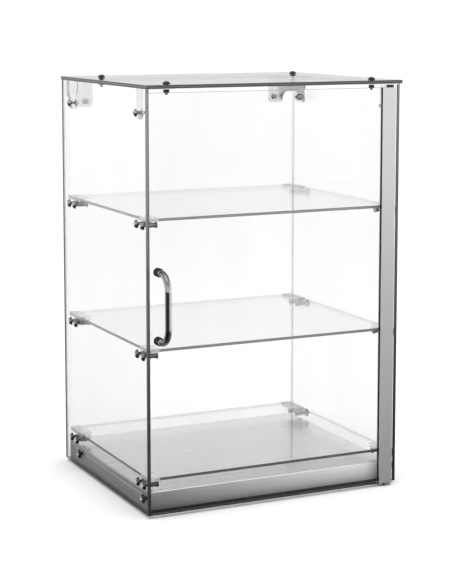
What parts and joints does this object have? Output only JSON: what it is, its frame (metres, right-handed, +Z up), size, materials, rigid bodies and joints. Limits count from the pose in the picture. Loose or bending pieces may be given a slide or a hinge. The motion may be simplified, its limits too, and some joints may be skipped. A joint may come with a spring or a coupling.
{
  "type": "tabletop display case",
  "caption": "Clear box-shaped display case with inner shelves, folded steel base and a side-hinged front door with a bow handle.",
  "frame": {"origin": "on the table, under the middle of the whole case, its handle and screw heads included", "axes": "+Z up, -Y to the front where the door is, +X to the door's hinge side"},
  "size_m": [0.409, 0.3783, 0.6065],
  "materials": {
    "clear_sheet": "clear, polished",
    "clear_clip": "clear, moulded",
    "brushed_steel": "brushed stainless",
    "bracket_steel": "satin sheet steel",
    "steel_hardware": "plain zinc-plated",
    "polished_sleeve": "bright turned",
    "polished_handle": "polished bar",
    "black_screw": "black oxide, semi-gloss",
    "black_nylon": "moulded, fine matt",
    "foot_rubber": "matt rubber"
  },
  "bodies": {
    "case": {"base_tray": "brushed_steel", "feet": "foot_rubber", "base_screws": "black_screw", "base_nuts": "steel_hardware", "left_side_panel": "clear_sheet", "right_side_panel": "clear_sheet", "back_panel": "clear_sheet", "top_panel": "clear_sheet", "front_left_bracket": "bracket_steel", "front_right_hinge_bracket": "bracket_steel", "rear_left_bracket": "bracket_steel", "rear_right_bracket": "bracket_steel", "bracket_screws": "steel_hardware", "bracket_nuts": "steel_hardware", "top_screws": "black_screw", "top_nuts": "black_screw", "lower_shelf": "clear_sheet", "lower_shelf_screws": "steel_hardware", "lower_shelf_washers": "steel_hardware", "lower_shelf_sleeves": "polished_sleeve", "lower_shelf_clips": "clear_clip", "middle_shelf": "clear_sheet", "middle_shelf_screws": "steel_hardware", "middle_shelf_washers": "steel_hardware", "middle_shelf_sleeves": "polished_sleeve", "middle_shelf_clips": "clear_clip", "upper_shelf": "clear_sheet", "upper_shelf_screws": "steel_hardware", "upper_shelf_washers": "steel_hardware", "upper_shelf_sleeves": "polished_sleeve", "upper_shelf_clips": "clear_clip", "lower_hinge_plate": "bracket_steel", "hinge_plate_screws": "steel_hardware", "upper_pivot_pin": "steel_hardware", "lower_pivot_pin": "steel_hardware"},
    "door": {"door_panel": "clear_sheet", "hinge_post": "brushed_steel", "upper_pivot_block": "black_nylon", "lower_pivot_block": "black_nylon", "upper_pivot_bush": "black_nylon", "lower_pivot_bush": "black_nylon", "door_handle": "polished_handle", "handle_screws": "steel_hardware", "handle_washers": "black_nylon", "handle_ferrules": "black_nylon"}
  },
  "joints": [
    {"name": "door_hinge", "type": "hinge", "parent": "case", "child": "door", "pos_m": [0.182, -0.1509, 0.298], "axis": [0, 0, 1], "range_deg": [0, 165]}
  ]
}
